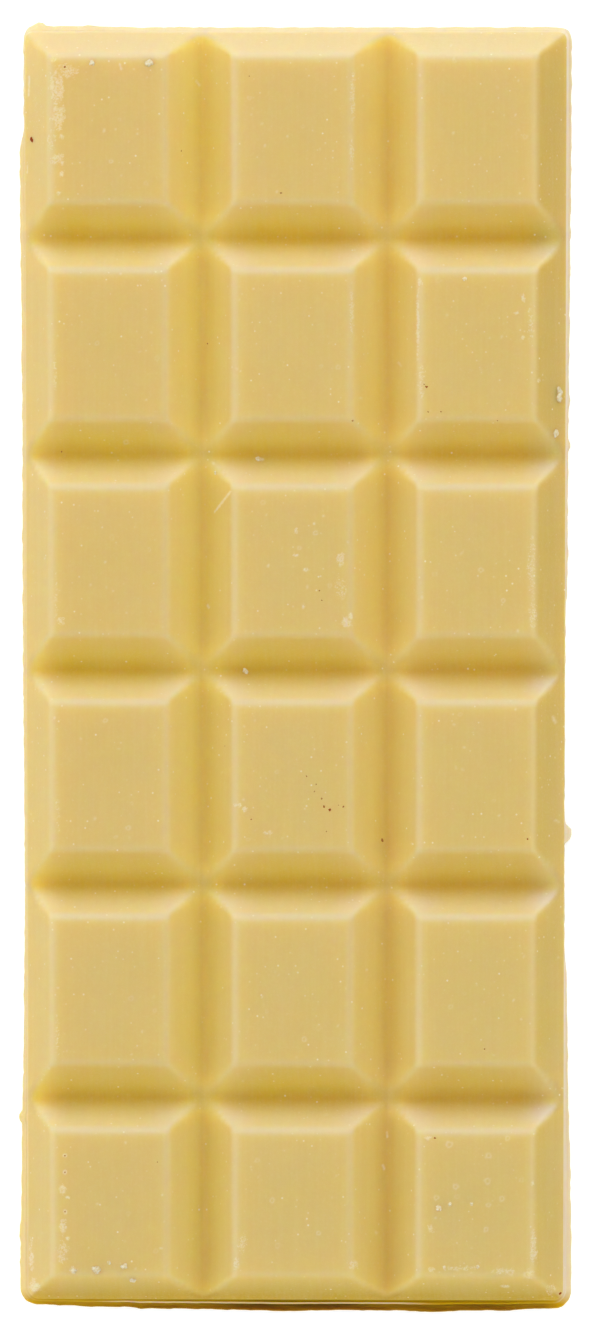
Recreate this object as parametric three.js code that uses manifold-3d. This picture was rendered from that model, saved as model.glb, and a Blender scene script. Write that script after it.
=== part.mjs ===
import * as THREE from 'three';
import { mergeVertices } from 'three/addons/utils/BufferGeometryUtils.js';
import Module from 'manifold-3d';

// A bar of white chocolate, three blocks wide and six long, lying on its flat back.
// X runs across the bar, Y along it, and Z up out of the blocks. Sizes are in millimetres.

// Heights above the flat back
const BLOCK_TOP = 8.8;
const GROOVE_FLOOR = 4.3;
const RIM_HEIGHT = 3.5;

// Plan of the blocks, measured from the middle of the groove lattice
const COLUMNS = 3;
const ROWS = 6;
const COLUMN_PITCH = 23.04;
const ROW_PITCH = 26.8;
const SIDE_RIM = 33.6;
const TOP_END_RIM = 79.0;
const BOTTOM_END_RIM = 79.35;
const RIM_CORNER_RADIUS = 1.3;

// How far the slopes run in from a groove's middle or from the rim to a block's flat top
const COLUMN_GROOVE_RUN = 4.25;
const ROW_GROOVE_RUN = 4.06;
const SIDE_RUN = 3.36;
const END_RUN = 2.9;

// Roundings, as heights: a block's upper edges and mitres, and the bottom of a groove
const EDGE_SOFTNESS = 0.4;
const GROOVE_SOFTNESS = 0.4;

// The whole bar grows a little towards its top end, by this share of each millimetre along Y
const GROWTH = 8.2e-5;

// How far the foot of the wall stands out past the rim: pairs of place along the side and reach
const LEFT_FOOT = [[-76, 1.1], [-60, 0.87], [-42, 0.58], [-28, 0.43], [20, 0.55], [62, 0.62], [76, 0.3]];
const RIGHT_FOOT = [[-74, 1.0], [-64, 0.9], [-50, 0.42], [-34, 0.1], [-12, 0.06], [20, 0.2], [76, 0.47]];
const TOP_FOOT = [[-31, 0.63], [-18, 0.44], [31, 0.44]];
const BOTTOM_FOOT = [[-31, 0.76], [-18, 1.06], [-6, 1.38], [7, 1.34], [17, 1.5], [31, 1.13]];

// The wall from the rim down to the foot: pairs of height and share of the foot's reach
const WALL = [[RIM_HEIGHT, 0], [3.05, 0.22], [2.4, 0.42], [1.6, 0.6], [0.5, 1], [-0.5, 1]];

// Reach of a side's foot at a place along that side, eased between the pairs of its list
function reachAt(foot, place) {
  const next = foot.findIndex(([at]) => at > place);
  if (next === 0) return foot[0][1];
  if (next < 0) return foot[foot.length - 1][1];
  const [fromPlace, fromReach] = foot[next - 1];
  const [toPlace, toReach] = foot[next];
  const share = THREE.MathUtils.smoothstep(place, fromPlace, toPlace);
  return THREE.MathUtils.lerp(fromReach, toReach, share);
}

// The lower of two heights, with the edge where they meet rounded off
function softMin(a, b) {
  const overlap = Math.max(EDGE_SOFTNESS - Math.abs(a - b), 0) / EDGE_SOFTNESS;
  return Math.min(a, b) - overlap * overlap * EDGE_SOFTNESS / 4;
}

// Height of the slope that climbs out of a groove, by distance from the groove's middle
function grooveSlope(distance, run) {
  const climbed = Math.hypot(distance, GROOVE_SOFTNESS) - GROOVE_SOFTNESS;
  return GROOVE_FLOOR + (BLOCK_TOP - GROOVE_FLOOR) * climbed / (run - GROOVE_SOFTNESS / 2);
}

// Height of the slope that climbs from the rim, by distance in from it
function rimSlope(distance, run) {
  return RIM_HEIGHT + (BLOCK_TOP - RIM_HEIGHT) * distance / run;
}

// The grooves that cross one direction, evenly spaced about the middle
function grooveLines(count, pitch) {
  return Array.from({ length: count - 1 }, (_, n) => (n + 1 - count / 2) * pitch);
}

// Everything that shapes the bar in one direction: its grooves, its two rims and their slopes
const across = {
  grooves: grooveLines(COLUMNS, COLUMN_PITCH),
  grooveRun: COLUMN_GROOVE_RUN,
  rims: [-SIDE_RIM, SIDE_RIM],
  rimRun: SIDE_RUN,
};
const along = {
  grooves: grooveLines(ROWS, ROW_PITCH),
  grooveRun: ROW_GROOVE_RUN,
  rims: [-BOTTOM_END_RIM, TOP_END_RIM],
  rimRun: END_RUN,
};

// Height of a long ridge that has only the grooves and rims of one direction
function ridgeHeight(direction, place) {
  const toGroove = Math.min(...direction.grooves.map((line) => Math.abs(place - line)));
  const toRim = Math.min(place - direction.rims[0], direction.rims[1] - place);
  return Math.min(grooveSlope(toGroove, direction.grooveRun), rimSlope(toRim, direction.rimRun));
}

// Height of the bar's upper side: blocks are where the ridges of both directions cross
function reliefHeight(u, v) {
  return softMin(BLOCK_TOP, softMin(ridgeHeight(across, u), ridgeHeight(along, v)));
}

// Places where the surface bends in one direction, from the first rim to the last
function bendLines(direction) {
  const [first, last] = direction.rims;
  const grooveBends = [GROOVE_SOFTNESS, 2 * GROOVE_SOFTNESS];
  const edgeBends = [-EDGE_SOFTNESS, 0, EDGE_SOFTNESS];
  const lines = [first, last];
  const drop = GROOVE_FLOOR - RIM_HEIGHT;
  const grooveLevel = direction.rimRun * drop / (BLOCK_TOP - RIM_HEIGHT);
  for (const inward of [grooveLevel, ...edgeBends.map((bend) => direction.rimRun + bend)]) {
    lines.push(first + inward, last - inward);
  }
  for (const groove of direction.grooves) {
    lines.push(groove);
    for (const away of [...grooveBends, ...edgeBends.map((bend) => direction.grooveRun + bend)]) {
      lines.push(groove - away, groove + away);
    }
  }
  return lines.sort((a, b) => a - b);
}

// Where a point at the rim or inside it lies once the rim's square corners are rounded,
// and which way the wall faces there
function roundCorner(u, v) {
  const clampInside = (place, [low, high]) => (
    THREE.MathUtils.clamp(place, low + RIM_CORNER_RADIUS, high - RIM_CORNER_RADIUS)
  );
  const innerU = clampInside(u, across.rims);
  const innerV = clampInside(v, along.rims);
  const out = new THREE.Vector2(u - innerU, v - innerV);
  const squareReach = Math.max(Math.abs(out.x), Math.abs(out.y));
  const facing = out.clone().normalize();
  return { x: innerU + facing.x * squareReach, y: innerV + facing.y * squareReach, facing };
}

// The body before its back is cut flat: a box whose grid is moved onto the bend lines
function buildBody() {
  const uLines = bendLines(across);
  const vLines = bendLines(along);
  const steps = [uLines.length - 1, vLines.length - 1, WALL.length - 1];
  const geometry = new THREE.BoxGeometry(1, 1, 1, ...steps);
  const position = geometry.attributes.position;
  const point = new THREE.Vector3();
  for (let n = 0; n < position.count; n += 1) {
    point.fromBufferAttribute(position, n).addScalar(0.5);
    const u = uLines[Math.round(point.x * steps[0])];
    const v = vLines[Math.round(point.y * steps[1])];
    const layer = WALL.length - 1 - Math.round(point.z * steps[2]);
    const { x, y, facing } = roundCorner(u, v);
    const atRim = across.rims.includes(u) || along.rims.includes(v);
    const [height, share] = WALL[layer];
    const sideReach = reachAt(u < 0 ? LEFT_FOOT : RIGHT_FOOT, v);
    const endReach = reachAt(v < 0 ? BOTTOM_FOOT : TOP_FOOT, u);
    const standOut = atRim ? share : 0;
    const swell = 1 + GROWTH * y;
    position.setXYZ(
      n,
      x * swell + facing.x * sideReach * standOut,
      y * swell + facing.y * endReach * standOut,
      layer === 0 ? reliefHeight(u, v) : height,
    );
  }
  return geometry;
}

// Splits each four-sided patch along its higher diagonal, so that mitres stay straight ridges
function followRidges(geometry) {
  const index = geometry.index;
  const position = geometry.attributes.position;
  const heightOf = (a, b) => position.getZ(a) + position.getZ(b);
  for (let n = 0; n < index.count; n += 6) {
    const [a, b, d] = [index.getX(n), index.getX(n + 1), index.getX(n + 2)];
    const c = index.getX(n + 4);
    if (heightOf(a, c) > heightOf(b, d) + 1e-6) {
      [a, b, c, a, c, d].forEach((vertex, k) => index.setX(n + k, vertex));
    }
  }
  return geometry;
}

const wasm = await Module();
wasm.setup();

function toSolid(geometry) {
  const bare = geometry.clone();
  bare.deleteAttribute('normal');
  bare.deleteAttribute('uv');
  const merged = mergeVertices(bare, 1e-4);
  return new wasm.Manifold(new wasm.Mesh({
    numProp: 3,
    vertProperties: new Float32Array(merged.attributes.position.array),
    triVerts: new Uint32Array(merged.index.array),
  }));
}

function toGeometry(solid) {
  const mesh = solid.getMesh();
  const geometry = new THREE.BufferGeometry();
  geometry.setAttribute('position', new THREE.BufferAttribute(mesh.vertProperties, 3));
  geometry.setIndex(new THREE.BufferAttribute(mesh.triVerts, 1));
  return geometry;
}

// A block of air under the bar: cutting it away leaves the scraped, flat back at Z = 0
function buildAirBelow() {
  const depth = 10;
  const geometry = new THREE.BoxGeometry(3 * SIDE_RIM, 3 * TOP_END_RIM, depth);
  geometry.translate(0, 0, -depth / 2);
  return geometry;
}

// The finished bar, moved so that the origin is under the middle of its outline
function buildBar() {
  const body = toSolid(followRidges(buildBody()));
  const geometry = toGeometry(body.subtract(toSolid(buildAirBelow())));
  geometry.computeBoundingBox();
  const middle = geometry.boundingBox.getCenter(new THREE.Vector3());
  geometry.translate(-middle.x, -middle.y, 0);
  geometry.computeVertexNormals();
  return geometry;
}

const whiteChocolate = new THREE.MeshStandardMaterial({
  color: 0xd9bb75,
  roughness: 0.5,
  metalness: 0,
});

const chocolateBar = new THREE.Mesh(buildBar(), whiteChocolate);
chocolateBar.name = 'chocolate_bar';

const bar = new THREE.Group();
bar.add(chocolateBar);

export default bar;
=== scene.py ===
"""A bar of white chocolate lying on a pale studio floor, seen almost from straight above."""

import math
from functools import partial

import bmesh
import bpy
import numpy as np
from bpy.props import FloatProperty, FloatVectorProperty, IntProperty, PointerProperty
from mathutils import Matrix, Vector
from mathutils.geometry import delaunay_2d_cdt


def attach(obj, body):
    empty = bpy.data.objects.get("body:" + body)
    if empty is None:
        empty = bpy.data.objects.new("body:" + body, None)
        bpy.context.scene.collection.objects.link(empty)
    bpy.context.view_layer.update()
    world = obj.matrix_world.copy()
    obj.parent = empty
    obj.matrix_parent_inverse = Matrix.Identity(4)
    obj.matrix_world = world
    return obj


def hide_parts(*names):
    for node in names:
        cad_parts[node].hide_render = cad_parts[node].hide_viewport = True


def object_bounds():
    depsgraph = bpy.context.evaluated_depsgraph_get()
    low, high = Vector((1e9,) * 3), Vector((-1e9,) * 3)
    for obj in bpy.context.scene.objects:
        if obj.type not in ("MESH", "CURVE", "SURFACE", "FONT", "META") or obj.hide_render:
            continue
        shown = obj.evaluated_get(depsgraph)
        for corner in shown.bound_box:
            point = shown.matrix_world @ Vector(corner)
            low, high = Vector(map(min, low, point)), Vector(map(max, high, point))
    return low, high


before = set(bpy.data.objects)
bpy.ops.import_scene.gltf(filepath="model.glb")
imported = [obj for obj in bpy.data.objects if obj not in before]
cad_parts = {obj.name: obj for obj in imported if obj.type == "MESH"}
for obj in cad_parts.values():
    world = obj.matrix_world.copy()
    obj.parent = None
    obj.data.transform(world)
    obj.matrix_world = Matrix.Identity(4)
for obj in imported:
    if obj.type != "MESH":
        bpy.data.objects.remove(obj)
CAD_LOW, CAD_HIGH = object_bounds()
SOLID = "chocolate_bar"

bl_info = {
    "name": "White chocolate bar",
    "version": (1, 0, 0),
    "blender": (4, 5, 0),
    "location": "View3D > Sidebar > Chocolate",
    "description": "Builds a moulded white chocolate bar with its bloom, crumbs and specks",
    "category": "Object",
}

MM = 0.001
BAR = "moulded_bar"
COLUMNS, ROWS = 3, 6

# Places below are on the lattice of the grooves: across and along from its middle, in millimetres.

# Colours of the slopes that face across the bar, with painted light and shade in them: fuller yellow
# towards a groove's foot, darker on the right side, and a brightness that follows the way a slope
# faces the light. At their foot, at their top, and how quickly the foot's colour gives way. First the
# left and the right side, then a groove's left and right slope
ACROSS_SHADED_TONES = [
    ((0.695, 0.527, 0.178), (0.695, 0.537, 0.2), 1), ((0.635, 0.46, 0.125), (0.63, 0.45, 0.105), 1),
    ((0.714, 0.545, 0.112), (0.738, 0.572, 0.192), 1.3), ((0.733, 0.562, 0.118), (0.68, 0.505, 0.17), 1),
]

# The same for the slopes of the bottom and the top end, then a cross groove's lower and upper slope.
# Here too light and shade are painted: dark at the bottom end's foot and deep in the cross grooves,
# and a painted sheen, pale, on the top end and up the slopes that face it
ALONG_SHADED_TONES = [
    ((0.545, 0.358, 0.027), (0.735, 0.55, 0.155), 1), ((0.69, 0.56, 0.268), (0.7, 0.575, 0.3), 1),
    ((0.69, 0.496, 0.05), (0.73, 0.582, 0.248), 3.2), ((0.68, 0.485, 0.049), (0.716, 0.544, 0.158), 1),
]

# How strongly a painted highlight lies along a block's edges, strongest on the top and the left edges
# that face the light: the left and the right one, the bottom and the top one
EDGE_HIGHLIGHT = [(0.5, 0.34), (0.27, 0.9)]

# How far the painted highlight reaches past an edge, where it fades out and is full inside it, and
# how much quicker it fades there in blue
HIGHLIGHT_OUTSIDE, HIGHLIGHT_INSIDE, HIGHLIGHT_PACE = 0.6, (1.6, 0.2), np.array([1, 1, 2.6])

# Painted light and shade on the slopes, as shares of red, green and blue: lighter towards the top and
# the left, paler in the cross grooves near the crossings and the side rims and near the top end, and
# darker on the right side towards the top. A drift is a change with each millimetre, and a pair says
# where a lift sets in and where it is full
GROOVE_DRIFT_UP, GROOVE_DRIFT_LEFT = np.array([[0.0003, 0.0005, 0.0002], [0.0002, 0.0022, 0]])
DRIFT_LEFT_REACH = 14
CROSSING_LIFT, CROSSING_REACH = np.array([0.02, 0.07, 0.65]), (8, 2)
LEFT_RIM_LIFT, LEFT_RIM_DRIFT = (0.08, 0.19, 1.2), (0.0012, 0.0012, 0.0012)
RIGHT_RIM_LIFT, RIGHT_RIM_DRIFT = (-0.04, 0.15, 2.1), (0.0012, 0.0016, 0.012)
RIM_REACH = (6, 1)
RIGHT_SIDE_DRIFT = np.array([0.0006, 0.0009, 0.0023])
TOP_END_LIFT, TOP_END_REACH = np.array([0.03, 0.08, 0.15]), (68, 76)
RED_DRIFT_UP, RED_DRIFT_LEFT = 0.0002, 0.0003

# Where two slopes meet: width of the blend, how pale the painted highlight on the ridge gets and how
# high above the groove it is fully so, and how dark the painted shade is down in the crossing. Then
# the width of a top's blend into its edge
MITRE_WIDTH, MITRE_HIGHLIGHT, MITRE_CLIMB = 1.2, 0.4, 2.0
CROSSING_SHADE = np.array([0.11, 0.13, -0.1])
TOP_BLEND = 0.15

# Spacing of the mesh's lines at the bends, between them and in cells with marks; how far from a bend
# they stay close together, and over what distance they then spread
FINE, COARSE, MARKED = 0.22, 0.7, 0.13
BEND_MARGIN, BEND_FADE = 0.5, 1.5

# Reach of the wall's foot past the rim: pairs of place along the side and reach
LEFT_FOOT = [
    (-76, 1.3), (-60, 1.05), (-42, 0.72), (-28, 0.58), (12, 0.75), (34, 0.72), (64, 0.95), (67.5, 0.42),
]
RIGHT_FOOT = [
    (-74, 0.88), (-64, 0.75), (-50, 0.38), (-40, 0.25), (-34, -0.1), (-12, -0.15), (6, -0.1), (12, 0.15),
    (76, 0.5),
]
TOP_FOOT = [(-31, 0.85), (-18, 0.67), (31, 0.67)]
BOTTOM_FOOT = [
    (-31, 0.95), (-24, 1.15), (-18, 1.35), (-8, 1.47), (-2, 1.63), (7, 1.49), (17, 1.6), (25, 1.5),
    (31, 1.25),
]

# Thin flash that squeezed out past the foot: place along the side, half width, and extra reach
LEFT_FLASH = [(-56.2, 0.9, 0.3), (-70.5, 1.6, 0.12), (38, 2.2, 0.08)]
RIGHT_FLASH = [(-20.4, 1.5, 0.9), (-9, 0.8, 0.12), (14.5, 1.2, 0.15), (28, 0.9, 0.2), (33.5, 1.1, 0.2)]
TOP_FLASH = [(-32, 0.9, 0.42), (-25.9, 1.1, 0.17)]
BOTTOM_FLASH = [(-19.5, 0.6, 0.1), (17, 2, 0.08)]

# The wall below the rim, in rings: drop as a share of the rim's height, share of the foot's reach,
# how dull and whitish the ring is, with a painted highlight on the bottom end's ledge, and how much
# painted shade, in brown, it takes at the bottom end
WALL = [
    (0.03, 0.03, 0.6, 0.6), (0.08, 0.07, 0.8, 0.75), (0.16, 0.13, 0.8, 0.8), (0.24, 0.21, 0.8, 0.8),
    (0.27, 0.28, 1, 0.55), (0.3, 0.37, 1, 0.5), (0.37, 0.42, 0.7, 1), (0.55, 0.6, 0.5, 1),
    (0.72, 0.8, 0.6, 1.1), (0.88, 0.97, 0.7, 1.25), (0.95, 1, 0.2, 1.3), (1, 0.93, 0.2, 1.3),
]

# Both ends of the ledge on the bottom end's wall, the distance over which it fades there, and how
# much of the painted shade gives way there to a painted highlight
BOTTOM_LEDGE, LEDGE_FADE, LEDGE_HIGHLIGHT = (-24, 16), 3, 0.7

# How dull and whitish the wall is on the left, on the right and at the top end, and how strong the
# painted highlight is on the bottom end's ledge
DULL_AND_HIGHLIGHT_SIDES = (0.2, 1, 0.25, 0.8)

# How much painted shade, in brown, lies on the wall of the bottom end: pairs of place across and share
BOTTOM_SHADE = [
    (-33.6, 0.5), (-29.5, 0.65), (-20, 0.75), (-12, 0.86), (-3, 1), (4, 1), (12, 0.88), (25.5, 0.9),
    (30.5, 0.78), (33.6, 0.5),
]

# Brown specks: place, radius, and how dark they are
SPECKS = [
    (-32.7, 65.8, 0.33, 1), (-28.3, 74.7, 0.13, 0.7), (-14, 64.4, 0.1, 0.4), (-1.5, 59.2, 0.14, 0.2),
    (16.6, 35.3, 0.13, 0.8), (16.3, 35.6, 0.09, 0.3), (18.4, 32.2, 0.11, 0.4), (16.8, 32.2, 0.1, 0.4),
    (25.4, 31.1, 0.1, 0.3), (7.4, 31.1, 0.12, 0.2), (-10.9, 40.6, 0.12, 0.3), (-29.1, 27.2, 0.11, 0.4),
    (3.3, 10, 0.09, 0.3), (3.6, 8.8, 0.1, 0.3), (3.9, -16.9, 0.13, 1), (4.6, -17.3, 0.15, 1),
    (6.3, -16.9, 0.11, 0.7), (5.7, -16.7, 0.06, 0.4), (-5.2, -18.5, 0.11, 0.5), (1.7, -13.1, 0.1, 0.5),
    (2.9, -14.1, 0.1, 0.5), (2.7, -15, 0.1, 0.2), (3.6, -15.9, 0.11, 0.2), (4.2, -20, 0.09, 0.2),
    (10.9, -21.2, 0.17, 0.5), (29.3, -20.9, 0.13, 0.9), (17.8, -58.4, 0.13, 0.5), (-17, -61.5, 0.09, 0.4),
    (33.4, -78.2, 0.17, 1), (-5.4, 73.6, 0.08, 0.3), (-8.6, -9.4, 0.08, 0.3), (24, -47.2, 0.09, 0.4),
]

# Pits with a pale lip and a brown middle, and the radius and paleness of the lip
PIT_LIP = (0.26, 0.7)
PITS = [(-28.6, -60.7), (-28.6, -62.8), (-28.6, -67.8)]

# Air bubbles that left a ring: place and radius, and the rings' paleness
BUBBLE_PALENESS = 0.38
BUBBLES = [
    (19.6, -59.2, 0.42), (24.5, -60.6, 0.36), (24.4, -63.8, 0.4), (20.4, -64.5, 0.34), (24.5, -66.8, 0.3),
    (26.9, -58.4, 0.3), (27.3, -75.3, 0.38), (29.4, -75.6, 0.42), (18, -65.9, 0.3), (26.2, -66, 0.32),
    (24.2, -69.9, 0.28), (2.8, 17.2, 0.3), (0.8, 15.3, 0.24), (-21, 28.4, 0.32), (23.4, 12.6, 0.34),
    (26.2, 8.8, 0.26), (-20.6, -19.6, 0.3), (-23.4, -6.2, 0.28), (1.4, -46, 0.3), (-2.6, -66.3, 0.32),
    (3.2, -70.4, 0.28), (-22.6, 63.1, 0.26),
]

# Patches of granular bloom: middle, half sizes across and along, grains in it, and paleness
PATCHES = [
    (-29.3, 72.1, 0.8, 2.1, 60, 0.62), (-29.1, 68.6, 0.75, 1.6, 46, 0.62), (-28, 74.2, 1.4, 0.7, 34, 0.5),
    (-29.9, 65.8, 0.6, 1.3, 12, 0.3), (-29.5, 63.3, 0.7, 0.6, 16, 0.45), (-31.8, 69, 1, 5, 6, 0.12),
    (-29.7, 75.6, 0.5, 0.4, 8, 0.35), (-28.9, 63.7, 0.45, 0.5, 12, 0.5), (-28.6, 62.9, 0.2, 0.25, 5, 0.7),
    (-28.7, 66.2, 0.25, 0.3, 7, 0.55), (-28.7, 61.6, 0.25, 0.3, 7, 0.6), (-29.1, 59.2, 0.25, 0.2, 5, 0.5),
    (-28.9, -65, 0.4, 0.6, 20, 0.62), (-28.9, -69.8, 0.4, 0.75, 22, 0.62), (-28.3, -66, 0.2, 0.15, 4, 0.7),
    (-28.3, -71.1, 0.22, 0.15, 4, 0.7), (-28.9, -73, 0.7, 1.3, 26, 0.45), (-27.6, -75, 0.4, 0.55, 12, 0.6),
    (-33.2, -74.2, 0.3, 1.2, 18, 0.6), (-32.8, -77.4, 0.8, 0.7, 34, 0.65), (-33.3, -72, 0.2, 1.4, 10, 0.4),
    (30.2, -71.2, 0.3, 1.6, 22, 0.5), (30.2, -73.2, 0.5, 0.9, 22, 0.55), (29.7, -75.3, 0.5, 0.6, 14, 0.4),
    (30.1, -64, 0.2, 0.3, 6, 0.5), (17.3, -69.8, 0.35, 0.5, 9, 0.5), (17.4, -75, 0.3, 0.4, 8, 0.45),
    (32.2, -77.6, 0.6, 0.6, 14, 0.35), (26.6, -77.1, 0.5, 0.15, 9, 0.6), (21, -74.8, 1.8, 0.3, 12, 0.45),
    (26.2, -75.1, 1.3, 0.3, 18, 0.5), (16.9, -58.4, 0.35, 0.22, 10, 0.55), (23, 37.3, 3, 0.35, 4, 0.15),
    (15.7, 48.2, 0.2, 0.5, 8, 0.6), (15.5, 43, 0.14, 4.4, 44, 0.55), (16, 36, 0.4, 2.5, 20, 0.35),
    (28.6, 46.2, 0.2, 0.4, 7, 0.75), (27.8, 44.4, 0.25, 0.12, 5, 0.75), (28.6, 41.3, 0.2, 0.28, 5, 0.75),
    (29.5, 43.2, 0.35, 2.4, 18, 0.35), (30.5, 36.1, 0.15, 0.2, 4, 0.5), (5.9, 13.8, 0.45, 0.8, 20, 0.55),
    (6, 10.4, 0.7, 1.5, 16, 0.35), (6.6, 6.1, 0.6, 0.6, 18, 0.6), (7.2, 6.8, 0.2, 0.4, 9, 0.75),
    (2.6, 18.3, 0.12, 0.1, 3, 0.7), (0.4, 17.4, 0.16, 0.35, 6, 0.65), (0.3, 14.4, 0.3, 0.12, 6, 0.7),
    (1.6, 12.6, 0.3, 0.2, 7, 0.45), (1.3, 8, 0.12, 0.3, 5, 0.5), (-6.9, -16.7, 0.5, 0.25, 10, 0.6),
    (-6, -17.2, 0.3, 0.35, 8, 0.6), (-3, -20.2, 0.6, 0.3, 12, 0.5), (7.4, 71, 0.25, 3, 26, 0.45),
    (7.3, 64, 0.2, 2.4, 12, 0.4), (7.3, 44.5, 0.2, 3, 20, 0.45), (29.7, 13, 0.5, 4, 26, 0.35),
    (29.9, 7, 0.5, 2, 16, 0.4), (-29.6, 37, 0.25, 2, 10, 0.35), (-29.5, 9, 0.25, 3, 12, 0.3),
    (-29, 6.3, 0.4, 0.4, 10, 0.5), (-29.4, -18, 0.25, 2.5, 10, 0.3), (-29.5, -46, 0.25, 3, 12, 0.3),
    (7.6, -74.4, 0.5, 0.5, 12, 0.5), (-6.4, -71.6, 0.5, 1.4, 16, 0.4), (-7.1, -74.2, 0.4, 0.7, 12, 0.5),
]

# Scratches: both ends, half width and paleness
SCRATCHES = [
    ((-33, 73.5), (-33.1, 71.2), 0.13, 0.6), ((-10, 19.7), (-7.8, 22.3), 0.1, 0.7),
    ((-33.3, 62.6), (-33.3, 61.7), 0.1, 0.6), ((-21.5, 75.1), (-21.2, 74.3), 0.11, 0.5),
    ((-4.6, 26.4), (-4, 26.2), 0.12, 0.7), ((11.5, -57.9), (11.6, -58.5), 0.13, 0.7),
    ((11, -62), (11.2, -62.5), 0.13, 0.7), ((32.2, -5.8), (32.6, -6.5), 0.18, 0.5),
    ((32.6, -18.6), (33, -18.9), 0.12, 0.4), ((-10.9, 8.1), (-10.7, 7.7), 0.12, 0.6),
    ((-12.3, 73), (-11.8, 72.4), 0.1, 0.4), ((12.9, 38.3), (13.3, 37.8), 0.09, 0.4),
]

# Loose crumbs: place and half size
CRUMBS = [
    (-24.9, 75.2, 0.45), (-17.9, 75.2, 0.51), (-27.6, -75.2, 0.36), (-24.7, -75.1, 0.51),
    (-21.2, -74.7, 0.48), (-23.1, -74.2, 0.3), (-20.2, -76.5, 0.42), (32.9, 34.7, 0.6), (32.9, 34, 0.54),
    (32.5, 29.5, 0.6), (-6.2, -0.1, 0.42), (-4.6, 26.3, 0.36), (19, -74.7, 0.24), (23.2, -74.6, 0.22),
    (18.3, -67.2, 0.33), (19.7, -66.7, 0.24), (22.4, -66.7, 0.22), (21.3, 48.6, 0.24), (-9.9, 24.6, 0.24),
]

# Softboxes: side, degrees round from the top end and up from the floor, and width and height in metres
SOFTBOXES = [
    ("top", 0, 36, (0.8, 0.9)), ("right", 90, 40, (0.8, 0.6)),
    ("bottom", 180, 42, (0.8, 0.6)), ("left", 270, 30, (0.8, 0.6)),
]

# Kinds of settings, with the unit or subtype that they share
length_setting = partial(FloatProperty, unit="LENGTH", precision=4)
length_pair_setting = partial(FloatVectorProperty, size=2, unit="LENGTH", precision=4)
colour_setting = partial(FloatVectorProperty, subtype="COLOR", min=0, max=1)
power_setting = partial(FloatProperty, unit="POWER", min=0)


class BarShape(bpy.types.PropertyGroup):
    """Sizes of the moulded bar"""

    block_top: length_setting(
        name="Block top", description="Height of the blocks above the back", default=CAD_HIGH.z)
    groove_floor: length_setting(
        name="Groove floor", description="Height of the bottom of the grooves", default=4.3 * MM)
    rim_height: length_setting(
        name="Rim height", description="Height of the rim where the outer slopes end", default=3.5 * MM)
    column_pitch: length_setting(
        name="Column pitch", description="Distance between the grooves along the bar", default=23.04 * MM)
    row_pitch: length_setting(
        name="Row pitch", description="Distance between the grooves across the bar", default=26.8 * MM)
    side_rim: length_setting(
        name="Side rim", description="Distance of the side rims from the middle", default=33.6 * MM)
    top_end_rim: length_setting(
        name="Top end rim", description="Distance of the top end's rim from the middle groove",
        default=79.0 * MM)
    bottom_end_rim: length_setting(
        name="Bottom end rim", description="Distance of the bottom end's rim from the middle groove",
        default=79.0 * MM)
    corner_radius: length_pair_setting(
        name="Corner radius", description="Rounding of the rim's corners at the bottom and at the top end",
        default=(1.3 * MM, 0.9 * MM))
    column_groove_run: length_pair_setting(
        name="Column groove run", description="From a block's top on the left and on the right to the groove",
        default=(4.2 * MM, 4.1 * MM))
    row_groove_run: length_pair_setting(
        name="Row groove run", description="From a block's top below and above to the groove between",
        default=(3.75 * MM, 4.4 * MM))
    side_run: length_pair_setting(
        name="Side run", description="From the left and the right rim to a block's top",
        default=(3.36 * MM, 3.45 * MM))
    end_run: length_pair_setting(
        name="End run", description="From the bottom and the top rim to a block's top",
        default=(3.2 * MM, 2.75 * MM))
    edge_softness: length_setting(
        name="Edge softness", description="Height over which a block's edges are rounded", default=0.8 * MM)
    mitre_softness: length_setting(
        name="Mitre softness", description="Height over which the ridge between two slopes is rounded",
        default=0.9 * MM)
    groove_softness: length_setting(
        name="Groove softness", description="Distance over which the bottom of a groove is rounded",
        default=1.3 * MM)
    crown: length_setting(
        name="Crown", description="How far a block's top falls towards its edges", default=0.2 * MM)
    crown_width: length_setting(
        name="Crown width", description="Width of the stretch beside an edge where a block's top falls",
        default=2.2 * MM)
    growth: FloatProperty(
        name="Growth", description="Share by which the bar grows with each metre towards its top end",
        default=0.082, precision=4)


class BarMarks(bpy.types.PropertyGroup):
    """How thickly small marks lie on the blocks"""

    seed: IntProperty(
        name="Seed", description="Start of the random draws of small marks", default=12, min=0)
    dots: IntProperty(
        name="Dots", description="Faint pale dots on each block", default=11, min=0)
    rings: IntProperty(
        name="Rings", description="Faint bubble rings on each block", default=2, min=0)
    lift: FloatProperty(
        name="Lift", description="How far a mark stands out of the surface",
        default=0.035 * MM, unit="LENGTH", precision=6)


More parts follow.
